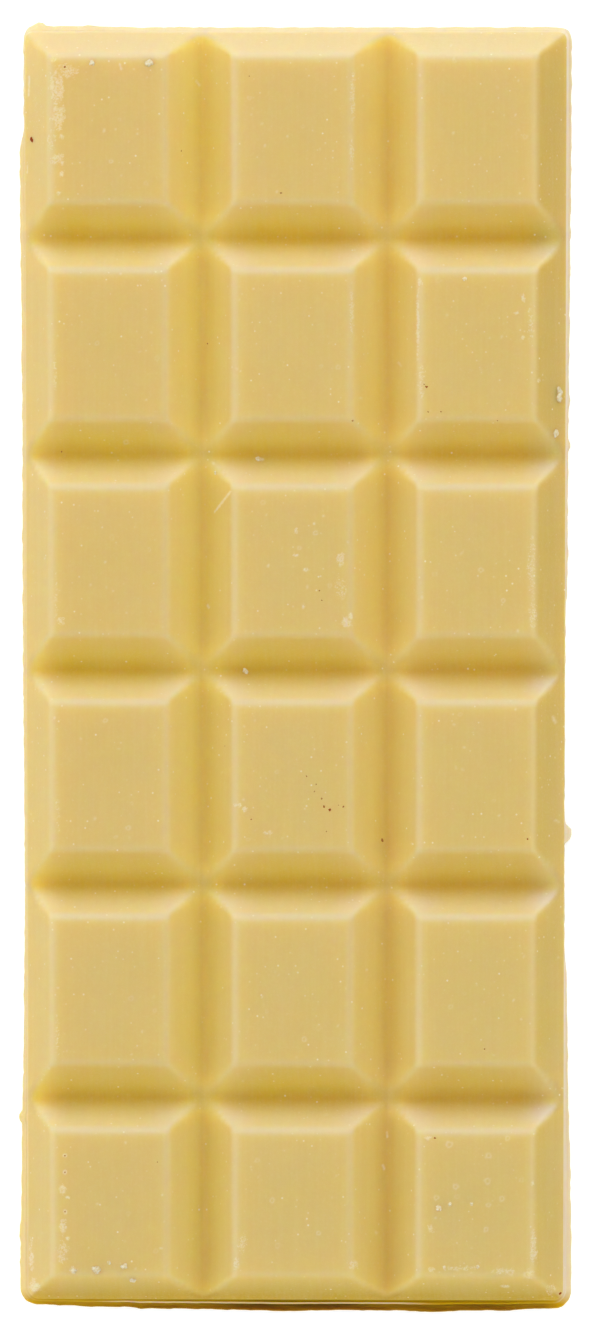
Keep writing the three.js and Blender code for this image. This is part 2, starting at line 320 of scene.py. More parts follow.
class BarFinish(bpy.types.PropertyGroup):
    """Colours and surface of the chocolate and what lies on it"""

    face: colour_setting(
        name="Face", description="Colour of the blocks' flat tops", default=(0.688, 0.525, 0.183))
    # Painted highlight along the block edges, also the colour of the faint cloudy mottle
    edge: colour_setting(
        name="Edge", description="Paler colour of the rubbed edges", default=(0.685, 0.582, 0.37))
    # Painted highlight along the ridges between two slopes
    mitre_highlight: colour_setting(
        name="Mitre", description="Paler colour of the ridges between two slopes",
        default=(0.64, 0.53, 0.325))
    # Whitish colour of the dull wall, and of the painted highlight on the bottom end's ledge
    dull: colour_setting(
        name="Dull", description="Whitish colour of the scraped ledge on the wall",
        default=(0.70, 0.61, 0.45))
    # The brown is painted shade on the bottom end's foot; the specks take it in their mottle too
    brown: colour_setting(
        name="Brown", description="Brown colour of the bottom end's foot", default=(0.065, 0.036, 0.0))
    # Painted half-shade between the chocolate's colour and the painted shade on the foot
    olive_shade: colour_setting(
        name="Olive", description="Deep yellow between the pale chocolate and the brown foot",
        default=(0.42, 0.25, 0.0))
    bloom: colour_setting(
        name="Bloom", description="Colour of pale bloom and crumbs", default=(0.80, 0.76, 0.60))
    speck: colour_setting(
        name="Speck", description="Colour of the darkest brown specks", default=(0.30, 0.052, 0.004))
    roughness: FloatProperty(
        name="Roughness", description="Roughness of the moulded surface",
        default=0.46, min=0, max=1)
    glow_depth: length_setting(
        name="Glow depth", description="How far light travels inside the chocolate", default=6.0 * MM)


class BarStage(bpy.types.PropertyGroup):
    """Camera, floor and light"""

    tilt_right: FloatProperty(
        name="Tilt right", description="How far the camera leans to the right of straight above",
        default=math.radians(3.6), subtype="ANGLE")
    tilt_up: FloatProperty(
        name="Tilt up", description="How far the camera leans towards the bar's top end",
        default=math.radians(1.15), subtype="ANGLE")
    camera_distance: FloatProperty(
        name="Camera distance", description="Distance of the camera from the bar",
        default=3.0, unit="LENGTH")
    frame_height: length_setting(
        name="Frame height", description="Height of the picture at the bar", default=166.9 * MM)
    frame_middle: FloatVectorProperty(
        name="Frame middle", description="Where the middle of the picture meets the floor",
        default=(0.56 * MM, -0.16 * MM), size=2, unit="LENGTH", precision=5)
    floor_colour: colour_setting(
        name="Floor colour", description="Colour of the plain floor", default=(0.5, 0.5, 0.5))
    floor_glow: FloatProperty(
        name="Floor glow", description="Light that comes up through the floor, as on a light table",
        default=0.68, min=0)
    surround: FloatProperty(
        name="Surround", description="Strength of the even light from all round",
        default=0.05, min=0)
    top_light: power_setting(
        name="Top light", description="Power of the softbox beyond the top end", default=7.8)
    left_light: power_setting(
        name="Left light", description="Power of the softbox on the left", default=4.25)
    right_light: power_setting(
        name="Right light", description="Power of the softbox on the right", default=3.4)
    bottom_light: power_setting(
        name="Bottom light", description="Power of the softbox beyond the bottom end", default=4.3)


def ease(share):
    """A share between 0 and 1 with soft ends."""
    share = np.clip(share, 0, 1)
    return share * share * (3 - 2 * share)


def rise(value, start, full):
    """A share that grows softly from 0 where a value is at its start to 1 where it is full."""
    return ease((value - start) / (full - start))


def soft_min(a, b, softness):
    """The lower of two heights, with their meeting edge rounded."""
    overlap = np.clip(softness - np.abs(a - b), 0, None) / softness
    return np.minimum(a, b) - overlap**2 * softness / 4


def reach_at(foot, flash, place):
    """Reach of a side's foot at places along it, eased between its pairs, with flash standing out."""
    places, reaches = (np.array(column, float) for column in zip(*foot))
    held = np.clip(place, places[0], places[-1])
    after = np.clip(np.searchsorted(places, held), 1, len(places) - 1)
    share = rise(held, places[after - 1], places[after])
    reach = reaches[after - 1] * (1 - share) + reaches[after] * share
    steepness = 1.4
    for middle, half, extra in flash:
        reach = reach + extra * ease(steepness * (1 - np.abs(place - middle) / half))
    return reach


def waves(x, y, wavelength, seed, ripples=10):
    """Smooth random ripples between about -1 and 1."""
    draw = np.random.default_rng(seed)
    total = np.zeros_like(x)
    for _ in range(ripples):
        angle, phase = draw.uniform(0, 2 * math.pi, 2)
        pull = 2 * math.pi / (wavelength * draw.uniform(0.7, 1.6))
        total += np.sin((x * math.cos(angle) + y * math.sin(angle)) * pull + phase)
    return total / math.sqrt(2 * ripples)


def border(grid):
    """A grid's values along its border, anticlockwise from its first corner."""
    return np.concatenate([grid[:-1, 0], grid[-1, :-1], grid[:0:-1, -1], grid[0, :0:-1]])


class Direction:
    """The grooves, rims and slopes that cross the bar in one direction, in millimetres."""

    def __init__(self, count, pitch, groove_runs, low_rim, high_rim, rim_runs):
        self.grooves = [(n + 1 - count / 2) * pitch / MM for n in range(count - 1)]
        self.groove_runs = [run / MM for run in groove_runs]
        self.rims = (-low_rim / MM, high_rim / MM)
        self.rim_runs = [run / MM for run in rim_runs]

    def runs_from(self, place, groove):
        """How far places lie from a groove, in runs of its side there."""
        return np.where(
            place < groove, (groove - place) / self.groove_runs[0], (place - groove) / self.groove_runs[1])

    def bends(self):
        """Places where the surface bends."""
        low, high = self.rims
        places = [low, high, low + self.rim_runs[0], high - self.rim_runs[1]]
        for groove in self.grooves:
            places += [groove - self.groove_runs[0], groove, groove + self.groove_runs[1]]
        return places

    def lines(self):
        """Grid lines from rim to rim, close together at the bends and wide apart between them."""
        place = np.linspace(*self.rims, 20001)
        away = np.min([np.abs(place - bend) for bend in self.bends()], axis=0)
        spacing = FINE + (COARSE - FINE) * np.clip((away - BEND_MARGIN) / BEND_FADE, 0, 1)
        walked = np.concatenate([[0], np.cumsum(np.diff(place) / spacing[1:])])
        return np.interp(np.linspace(0, walked[-1], math.ceil(walked[-1]) + 1), walked, place)

    def inside(self, place):
        """How far places lie inside the nearest block's top, or less than nothing outside."""
        return np.max([np.minimum(place - low, high - place) for low, high in self.blocks()], axis=0)

    def slope(self, place):
        """Number of the slope at each place: that of the low rim, the high rim, or a groove's two."""
        lines = np.array([self.rims[0], *self.grooves, self.rims[1]])
        nearest = np.abs(place[:, None] - lines).argmin(axis=1)
        in_groove = np.where(place < lines[nearest], 2, 3)
        return np.select([nearest == 0, nearest == len(lines) - 1], [0, 1], in_groove)

    def highlighted(self, place, strengths):
        """How strongly the painted highlight along the blocks' edges lies at each place, in red, green and
        blue.
        """
        shares = [np.zeros((len(place), 3))]
        for block in self.blocks():
            for edge, way, strength in zip(block, (1, -1), strengths):
                inside = (place - edge) * way
                within = rise(inside, *HIGHLIGHT_INSIDE)[:, None] ** HIGHLIGHT_PACE
                outside = rise(inside, -HIGHLIGHT_OUTSIDE, 0)[:, None]
                shares.append(strength * np.where(inside[:, None] > 0, within, outside))
        return np.max(shares, axis=0)

    def blocks(self):
        """First and last place of each block's top."""
        low = [self.rims[0] + self.rim_runs[0]] + [groove + self.groove_runs[1] for groove in self.grooves]
        high = [groove - self.groove_runs[0] for groove in self.grooves] + [self.rims[1] - self.rim_runs[1]]
        return list(zip(low, high))


class Relief:
    """The bar's moulded form as functions of a place on its groove lattice, in millimetres."""

    def __init__(self, shape):
        self.top = shape.block_top / MM
        self.floor = shape.groove_floor / MM
        self.rim = shape.rim_height / MM
        self.corners = [radius / MM for radius in shape.corner_radius]
        self.edge_softness = shape.edge_softness / MM
        self.mitre_softness = shape.mitre_softness / MM
        self.groove_softness = shape.groove_softness / MM
        self.crown = shape.crown / MM
        self.crown_width = shape.crown_width / MM
        self.growth = shape.growth * MM
        self.across = Direction(
            COLUMNS, shape.column_pitch, shape.column_groove_run,
            shape.side_rim, shape.side_rim, shape.side_run)
        self.along = Direction(
            ROWS, shape.row_pitch, shape.row_groove_run,
            shape.bottom_end_rim, shape.top_end_rim, shape.end_run)

    def ridge(self, direction, place):
        """Height of a long ridge with only this direction's grooves and rims."""
        away = np.min([direction.runs_from(place, line) for line in direction.grooves], axis=0)
        soft = self.groove_softness / direction.groove_runs[0]
        climbed = (np.hypot(away, soft) - soft) / (math.hypot(1, soft) - soft)
        rim_runs = [(place - direction.rims[0]) / direction.rim_runs[0],
                    (direction.rims[1] - place) / direction.rim_runs[1]]
        groove = self.floor + (self.top - self.floor) * climbed
        return np.minimum(groove, self.rim + (self.top - self.rim) * np.min(rim_runs, axis=0))

    def height(self, u, v):
        """Height of the upper side."""
        slopes = soft_min(self.ridge(self.across, u), self.ridge(self.along, v), self.mitre_softness)
        inside = np.minimum(self.across.inside(u), self.along.inside(v))
        face = self.top - self.crown * np.clip(1 - inside / self.crown_width, 0, 2) ** 2
        return soft_min(slopes, face, self.edge_softness)

    def slope_shading(self, u, v, sunk):
        """Colours of the slopes that face across the bar, and of those that face along it, with painted light
        and shade.
        """
        slopes = []
        for direction, place, tones in ((self.across, u, ACROSS_SHADED_TONES), (self.along, v, ALONG_SHADED_TONES)):
            slope = direction.slope(place)
            foot, top, pace = (np.array(part)[slope] for part in zip(*tones))
            drift = v[:, None] * GROOVE_DRIFT_UP
            drift -= np.clip(u, -DRIFT_LEFT_REACH, DRIFT_LEFT_REACH)[:, None] * GROOVE_DRIFT_LEFT
            lit = 1 + drift * (slope > 1)[:, None] * sunk
            slopes.append((top + (foot - top) * sunk ** pace[:, None]) * lit)
        across, along = slopes
        in_cross_groove = (self.along.slope(v) > 1)[:, None]
        to_groove = np.abs(u[:, None] - np.array(self.across.grooves)).min(axis=1)
        along *= 1 + rise(to_groove, *CROSSING_REACH)[:, None] * in_cross_groove * CROSSING_LIFT
        to_rim = np.minimum(u - self.across.rims[0], self.across.rims[1] - u)
        on_right = (u > 0)[:, None]
        rim_drift = v[:, None] * np.where(on_right, RIGHT_RIM_DRIFT, LEFT_RIM_DRIFT)
        rim_lift = np.where(on_right, RIGHT_RIM_LIFT, LEFT_RIM_LIFT) - rim_drift
        along *= 1 + rise(to_rim, *RIM_REACH)[:, None] * sunk * in_cross_groove * rim_lift
        on_right_side = (self.across.slope(u) == 1)[:, None]
        across *= 1 - on_right_side * v[:, None] * RIGHT_SIDE_DRIFT
        across *= 1 + rise(v, *TOP_END_REACH)[:, None] * sunk * TOP_END_LIFT
        return across, along

    def colour(self, u, v, finish):
        """Colour of the upper side, with painted light and shade: fuller in the grooves, painted highlights
        on edges and mitres.
        """
        face, edge, mitre_highlight = (np.array(shade) for shade in (finish.face, finish.edge, finish.mitre_highlight))
        height = self.height(u, v)
        sunk = np.clip((self.top - height) / (self.top - self.floor), 0, 1)[:, None]
        across, along = self.slope_shading(u, v, sunk)
        apart = self.ridge(self.across, u) - self.ridge(self.along, v)
        mixed = across + (along - across) * rise(apart, -MITRE_WIDTH / 2, MITRE_WIDTH / 2)[:, None]
        near = np.clip(1 - np.abs(apart) / MITRE_WIDTH, 0, 1)[:, None]
        climbed = rise(height, self.floor, self.floor + MITRE_CLIMB)[:, None]
        # Painted highlight up the ridges, and painted shade down in the crossing
        mixed += (mitre_highlight - mixed) * MITRE_HIGHLIGHT * near * climbed
        mixed *= 1 - np.sqrt(near) * (1 - climbed) * CROSSING_SHADE
        inside = np.stack([self.across.inside(u), self.along.inside(v)])
        mixed += (face - mixed) * rise(inside.min(axis=0), -TOP_BLEND, TOP_BLEND)[:, None]
        # Painted highlight along the edges of the blocks
        beside = rise(inside, -HIGHLIGHT_OUTSIDE, 0)[:, :, None]
        highlight_sides = self.across.highlighted(u, EDGE_HIGHLIGHT[0]) * beside[1]
        highlight_ends = self.along.highlighted(v, EDGE_HIGHLIGHT[1]) * beside[0]
        mixed[:, 0] *= 1 + RED_DRIFT_UP * v - RED_DRIFT_LEFT * u
        return mixed + (edge - mixed) * np.maximum(highlight_sides, highlight_ends)

    def lay_out(self, u, v):
        """Plan place of lattice points, with rounded corners, and the way the wall faces there."""
        corner = np.where(v < 0, *self.corners)[..., None]
        low = np.array([self.across.rims[0], self.along.rims[0]]) + corner
        high = np.array([self.across.rims[1], self.along.rims[1]]) - corner
        place = np.stack([u, v], axis=-1)
        inner = np.clip(place, low, high)
        out = place - inner
        square_reach = np.abs(out).max(axis=-1, keepdims=True)
        length = np.linalg.norm(out, axis=-1, keepdims=True)
        facing = out / np.where(length > 0, length, 1)
        plan = inner + facing * square_reach
        return plan * (1 + self.growth * plan[..., 1:]), facing


class Marks:
    """Small marks on the moulded side: soft-edged ovals and rings, in millimetres."""

    def __init__(self, seed, lift):
        self.draw = np.random.default_rng(seed)
        self.lift = lift / MM
        self.ovals = []
        self.patches = []

    def fleck(self, u, v, size, pale, longer=1.0, turn=0.0):
        """A soft-edged oval."""
        self.ovals.append((u, v, size, size * longer, turn, pale, False))

    def ring(self, u, v, radius, pale):
        """The ring of a burst bubble, a little out of round."""
        self.ovals.append((u, v, radius, radius * self.draw.uniform(0.85, 1.15), 0.0, pale, True))

    def patch(self, u, v, half_u, half_v, grains, pale):
        """Grains of bloom, thickest in the middle of their patch, and a haze of finer ones between them."""
        self.patches.append((u, v, half_u, half_v, pale))
        for _ in range(grains):
            angle, out = self.draw.uniform(0, 2 * math.pi), self.draw.uniform(0, 1) ** 0.6
            size = self.draw.uniform(0.08, 0.15)
            strength = pale * self.draw.uniform(0.5, 1.1) * (1 - 0.35 * out)
            longer, turn = self.draw.uniform(0.8, 1.6), self.draw.uniform(0, math.pi)
            grain_u, grain_v = u + half_u * out * math.cos(angle), v + half_v * out * math.sin(angle)
            self.fleck(grain_u, grain_v, size, strength, longer, turn)

    def scratch(self, start, end, width, pale):
        """A row of overlapping flecks."""
        start, end = np.array(start), np.array(end)
        length = np.linalg.norm(end - start)
        turn = math.atan2(*(start - end))
        for share in np.arange(0, 1.001, width / length):
            u, v = start + (end - start) * share + self.draw.normal(0, 0.12 * width, 2)
            size, strength = width * self.draw.uniform(0.8, 1.2), pale * self.draw.uniform(0.6, 1.1)
            self.fleck(u, v, size, strength, 1.5, turn)

    def scatter(self, block_u, block_v, dots, rings):
        """Faint dots and rings on one block's top, and every fifth dot also down its slopes."""
        for n in range(dots):
            margin = -3.0 if n % 5 == 0 else 0.4
            u, v = (self.draw.uniform(low + margin, high - margin) for low, high in (block_u, block_v))
            strength = self.draw.uniform(0.08, 0.55) ** 1.3
            size, longer = self.draw.uniform(0.09, 0.2), self.draw.uniform(0.8, 1.7)
            self.fleck(u, v, size, strength, longer, self.draw.uniform(0, math.pi))
        for _ in range(rings):
            margin = 0.8
            u, v = (self.draw.uniform(low + margin, high - margin) for low, high in (block_u, block_v))
            self.ring(u, v, self.draw.uniform(0.2, 0.36), self.draw.uniform(0.12, 0.3))

    def cells(self, u_lines, v_lines):
        """Which cells of a grid the marks touch."""
        touched = np.zeros((len(u_lines) - 1, len(v_lines) - 1), bool)
        for u, v, width, length, _, _, _ in self.ovals:
            reach = 1.25 * max(width, length)
            first_u, last_u = np.searchsorted(u_lines, (u - reach, u + reach))
            first_v, last_v = np.searchsorted(v_lines, (v - reach, v + reach))
            touched[max(first_u - 1, 0):last_u, max(first_v - 1, 0):last_v] = True
        return touched

    def haze(self, u, v):
        """How thickly the finest bloom lies at each point."""
        thick = np.zeros_like(u)
        ragged = 0.35 * waves(u, v, 0.9, 33) + 0.2 * waves(u, v, 2.2, 34)
        spill = 0.1
        for patch_u, patch_v, half_u, half_v, pale in self.patches:
            far = np.hypot((u - patch_u) / (half_u + spill), (v - patch_v) / (half_v + spill)) + ragged
            thick = np.maximum(thick, (0.3 + pale) * rise(far, 1.4, 0.6))
        return thick

    def lay(self, u, v):
        """How far the marks lift each point, and how pale they leave it."""
        raised, paled = np.zeros_like(u), np.zeros_like(u)
        ragged = 0.2 * waves(u, v, 0.5, 31)
        for mark_u, mark_v, width, length, turn, pale, is_ring in self.ovals:
            reach = 1.5 * max(width, length)
            near = np.nonzero((np.abs(u - mark_u) < reach) & (np.abs(v - mark_v) < reach))[0]
            away_u, away_v = u[near] - mark_u, v[near] - mark_v
            across = (away_u * math.cos(turn) + away_v * math.sin(turn)) / width
            along = (away_v * math.cos(turn) - away_u * math.sin(turn)) / length
            far = np.hypot(across, along) * (1 + ragged[near])
            share = np.exp(-((far - 0.8) / 0.3) ** 2) if is_ring else rise(far, 1.35, 0.45)
            hollow = 0.8 * rise(far, 0.7, 0.2) if is_ring else 0
            paled[near] = np.maximum(paled[near], pale * share)
            raised[near] = np.maximum(raised[near], 0) + self.lift * (share - hollow) * min(1, 2 * pale)
        return np.clip(raised, -2 * self.lift, 2 * self.lift), paled


def split_lines(lines, size):
    """Grid lines with each gap cut into even steps of about a size, and where the first lines fall."""
    cuts = np.maximum(1, np.round(np.diff(lines) / size).astype(int))
    starts = np.concatenate([[0], np.cumsum(cuts)])
    return np.interp(np.arange(starts[-1] + 1), starts, lines), starts


def build_grid(u_lines, v_lines, marked, size):
    """Lattice points, faces and border of the moulded side, with its marked cells split finely.

    A plain cell beside a split one takes the extra points on their shared side as corners.
    """
    fine_u, start_u = split_lines(u_lines, size)
    fine_v, start_v = split_lines(v_lines, size)
    used = np.zeros((len(fine_u), len(fine_v)), bool)
    used[np.ix_(start_u, start_v)] = True
    for i, j in np.argwhere(marked):
        used[start_u[i]:start_u[i + 1] + 1, start_v[j]:start_v[j + 1] + 1] = True
    number = np.cumsum(used).reshape(used.shape) - 1
    faces = []
    for i, j in np.ndindex(marked.shape):
        cell = np.s_[start_u[i]:start_u[i + 1] + 1, start_v[j]:start_v[j + 1] + 1]
        corners = number[cell]
        if marked[i, j]:
            quads = [corners[:-1, :-1], corners[1:, :-1], corners[1:, 1:], corners[:-1, 1:]]
            faces += np.stack(quads, axis=-1).reshape(-1, 4).tolist()
        else:
            faces.append(border(corners)[border(used[cell])].tolist())
    at_u, at_v = np.nonzero(used)
    return fine_u[at_u], fine_v[at_v], faces, border(number)[border(used)]


def all_marks(relief, amounts):
    """Every small mark of the upper side: those in the lists above, then faint scattered ones."""
    marks = Marks(amounts.seed, amounts.lift)
    for patch in PATCHES:
        marks.patch(*patch)
    for scratch in SCRATCHES:
        marks.scratch(*scratch)
    for u, v, radius in BUBBLES:
        marks.ring(u, v, radius, BUBBLE_PALENESS)
    for u, v in PITS:
        marks.ring(u, v, *PIT_LIP)
    for block_u in relief.across.blocks():
        for block_v in relief.along.blocks():
            marks.scatter(block_u, block_v, amounts.dots, amounts.rings)
    return marks


def build_top(relief, amounts):
    """Lattice places, points, faces, border, and paleness and haze of the moulded upper side."""
    marks = all_marks(relief, amounts)
    u_lines, v_lines = relief.across.lines(), relief.along.lines()
    u, v, faces, rim = build_grid(u_lines, v_lines, marks.cells(u_lines, v_lines), MARKED)
    height = relief.height(u, v)
    on_top = np.clip((height - relief.top + 0.3) / 0.3, 0, 1)
    raised, paled = marks.lay(u, v)
    swell, ripple = 0.02 * waves(u, v, 9, 3), 0.012 * on_top * waves(u, v, 4.5, 5)
    plan, _ = relief.lay_out(u, v)
    points = np.column_stack([plan, height + swell + ripple + raised])
    return u, v, points, faces, rim, paled, marks.haze(u, v)


def build_wall(relief, points, u, v):
    """Rings of points below the rim, their dullness with the painted ledge highlight, and their painted
    shade.
    """
    _, facing = relief.lay_out(u, v)
    left, right = reach_at(LEFT_FOOT, LEFT_FLASH, v), reach_at(RIGHT_FOOT, RIGHT_FLASH, v)
    bottom, top = reach_at(BOTTOM_FOOT, BOTTOM_FLASH, u), reach_at(TOP_FOOT, TOP_FLASH, u)
    reach = facing * np.column_stack([np.where(u < 0, left, right), np.where(v < 0, bottom, top)])
    faces_left, faces_right, faces_bottom, faces_top = (
        np.clip(way * facing[:, axis], 0, 1) for axis in (0, 1) for way in (-1, 1))
    first, last = BOTTOM_LEDGE
    # A painted highlight on the bottom end's ledge
    on_ledge = rise(u, first - LEDGE_FADE, first + LEDGE_FADE) * rise(u, last + LEDGE_FADE, last - LEDGE_FADE)
    dull_and_highlight_side = np.column_stack([faces_left, faces_right, faces_top, on_ledge * faces_bottom]) @ DULL_AND_HIGHLIGHT_SIDES
    # Painted shade, in brown, on the bottom end's wall
    foot_shade_side = faces_bottom * reach_at(BOTTOM_SHADE, [], u)
    rings, dull, brown = [], [], []
    for number, (drop, share, dull_and_highlight_share, shade_share) in enumerate(WALL):
        stripes = waves(3 * u, v, 24, 40 + number)
        rough = 0.05 * share * waves(u, v, 2.2, 11) + 0.03 * share * waves(u, v, 0.9, 12)
        plan = points[:, :2] + reach * share + facing * rough[:, None]
        rings.append(np.column_stack([plan, points[:, 2] * (1 - drop)]))
        dull.append(np.clip(dull_and_highlight_side * (dull_and_highlight_share + 0.15 * stripes), 0, 1))
        # Less painted shade where the ledge takes its painted highlight
        ledge_highlight = LEDGE_HIGHLIGHT * on_ledge * (dull_and_highlight_share == 1)
        brown.append(np.clip(foot_shade_side * shade_share * (1 + 0.1 * stripes) * (1 - ledge_highlight), 0, 1))
    return rings, dull, brown


def build_back(outline, spacing=2.2, tolerance=1e-5):
    """Points inside the foot's outline and the faces of the scraped back, numbered from its outline."""
    low, high = outline.min(axis=0), outline.max(axis=0)
    lines = [np.arange(low[axis] + spacing, high[axis] - spacing, spacing) for axis in (0, 1)]
    grid = np.stack(np.meshgrid(*lines), axis=-1).reshape(-1, 2)
    places = [Vector(place) for place in np.concatenate([outline, grid])]
    inside_only = 1
    found = delaunay_2d_cdt(places, [], [list(range(len(outline)))], inside_only, tolerance)
    origin = [group[0] for group in found[3]]
    faces = np.array([[origin[corner] for corner in face] for face in found[2]])
    return grid, faces[:, ::-1]


def link(name, data):
    """A new object in the scene."""
    made = bpy.data.objects.new(name, data)
    bpy.context.scene.collection.objects.link(made)
    return made


def new_mesh_object(name, points, faces, scale=MM):
    """A smooth object from points in millimetres and faces."""
    mesh = bpy.data.meshes.new(name)
    mesh.from_pydata((np.asarray(points) * scale).tolist(), [], faces)
    mesh.polygons.foreach_set("use_smooth", [True] * len(mesh.polygons))
    mesh.update()
    return link(name, mesh)


def add_mark(piece, name, values):
    """Stores one number for each point, for the material to read."""
    attribute = piece.data.attributes.new(name, "FLOAT", "POINT")
    attribute.data.foreach_set("value", np.asarray(values, np.float32))


def add_colour(piece, name, colours):
    """Stores one colour for each point, for the material to read."""
    attribute = piece.data.attributes.new(name, "FLOAT_COLOR", "POINT")
    filled = np.column_stack([colours, np.ones(len(colours))])
    attribute.data.foreach_set("color", filled.astype(np.float32).ravel())


def declare(piece):
    """The piece hangs from the root body, as the bar does."""
    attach(piece, "root")


def make_bar(shape, amounts, finish):
    """The whole moulded surface: blocks, wall and back as one closed mesh."""
    relief = Relief(shape)
    u, v, top_points, faces, rim, pale, haze = build_top(relief, amounts)
    rings, dull, brown = build_wall(relief, top_points[rim], u[rim], v[rim])
    around, upper, start = len(rim), rim, len(top_points)
    for _ in rings:
        lower = start + np.arange(around)
        faces += np.stack([upper, lower, np.roll(lower, -1), np.roll(upper, -1)], axis=-1).tolist()
        upper = lower
        start += around
    grid, back_faces = build_back(rings[-1][:, :2])
    hollow = np.clip(0.05 + 0.04 * waves(*grid.T, 14, 21), 0, None)
    faces += np.concatenate([upper, start + np.arange(len(grid))])[back_faces].tolist()
    points = np.concatenate([top_points, *rings, np.column_stack([grid, hollow])])
    middle = (points[:, :2].min(axis=0) + points[:, :2].max(axis=0)) / 2
    points[:, :2] -= middle
    bar = new_mesh_object(BAR, points, faces)
    bar["lattice_middle"] = middle.tolist()
    # The colour holds painted light and shade on the slopes, and painted highlights on edges and mitres
    colour = relief.colour(u, v, finish)
    back = np.tile(finish.face, (len(grid), 1))
    add_colour(bar, "tint", np.concatenate([colour, *[colour[rim]] * len(rings), back]))
    above, blank = np.zeros(len(top_points)), np.zeros(len(grid))
    for name, values in (("pale", pale), ("haze", haze)):
        add_mark(bar, name, np.concatenate([values, np.zeros(around * len(rings)), blank]))
    add_mark(bar, "dull", np.concatenate([above, *dull, blank]))
    add_mark(bar, "brown", np.concatenate([above, *brown, blank]))
    return bar


def seat(shape, u, v):
    """Point and outward direction on the bar's surface over a lattice place, in metres."""
    bar = bpy.data.objects[BAR]
    plan, _ = Relief(shape).lay_out(np.array([u]), np.array([v]))
    x, y = (plan[0] - np.array(bar["lattice_middle"])) * MM
    hit, point, facing, _ = bar.ray_cast(Vector((x, y, 50 * MM)), Vector((0, 0, -1)))
    if not hit:
        raise RuntimeError(f"nothing to lie on at {u}, {v}")
    return point, facing


def make_lumps(name, shape, lumps, flatness, sunk, seed):
    """Irregular lumps on the bar's surface, as one mesh: each has a place and a half size."""
    draw = np.random.default_rng(seed)
    joined = bmesh.new()
    for u, v, half in lumps:
        point, facing = seat(shape, u, v)
        made = bmesh.ops.create_icosphere(joined, subdivisions=3, radius=1)["verts"]
        ball = np.array([vertex.co for vertex in made])
        x, y, z = ball.T
        offsets = draw.uniform(-9, 9, 2)
        bumps = waves(x + offsets[0], y + 0.7 * z + offsets[1], 1.5, seed)
        finer = waves(1.3 * x + offsets[1], y - z + offsets[0], 0.6, seed + 1)
        ball *= (1 + 0.3 * bumps + 0.08 * finer)[:, None]
        stretch = np.array([*draw.uniform(0.75, 1.25, 2), flatness])
        turn = Matrix.Rotation(draw.uniform(0, 2 * math.pi), 4, "Z")
        lean = facing.to_track_quat("Z", "Y").to_matrix().to_4x4()
        pose = Matrix.Translation(point - facing * sunk * half * MM) @ lean
        for vertex, place in zip(made, ball * stretch * half * MM):
            vertex.co = pose @ turn @ Vector(place)
    mesh = bpy.data.meshes.new(name)
    joined.to_mesh(mesh)
    joined.free()
    mesh.polygons.foreach_set("use_smooth", [True] * len(mesh.polygons))
    return link(name, mesh)


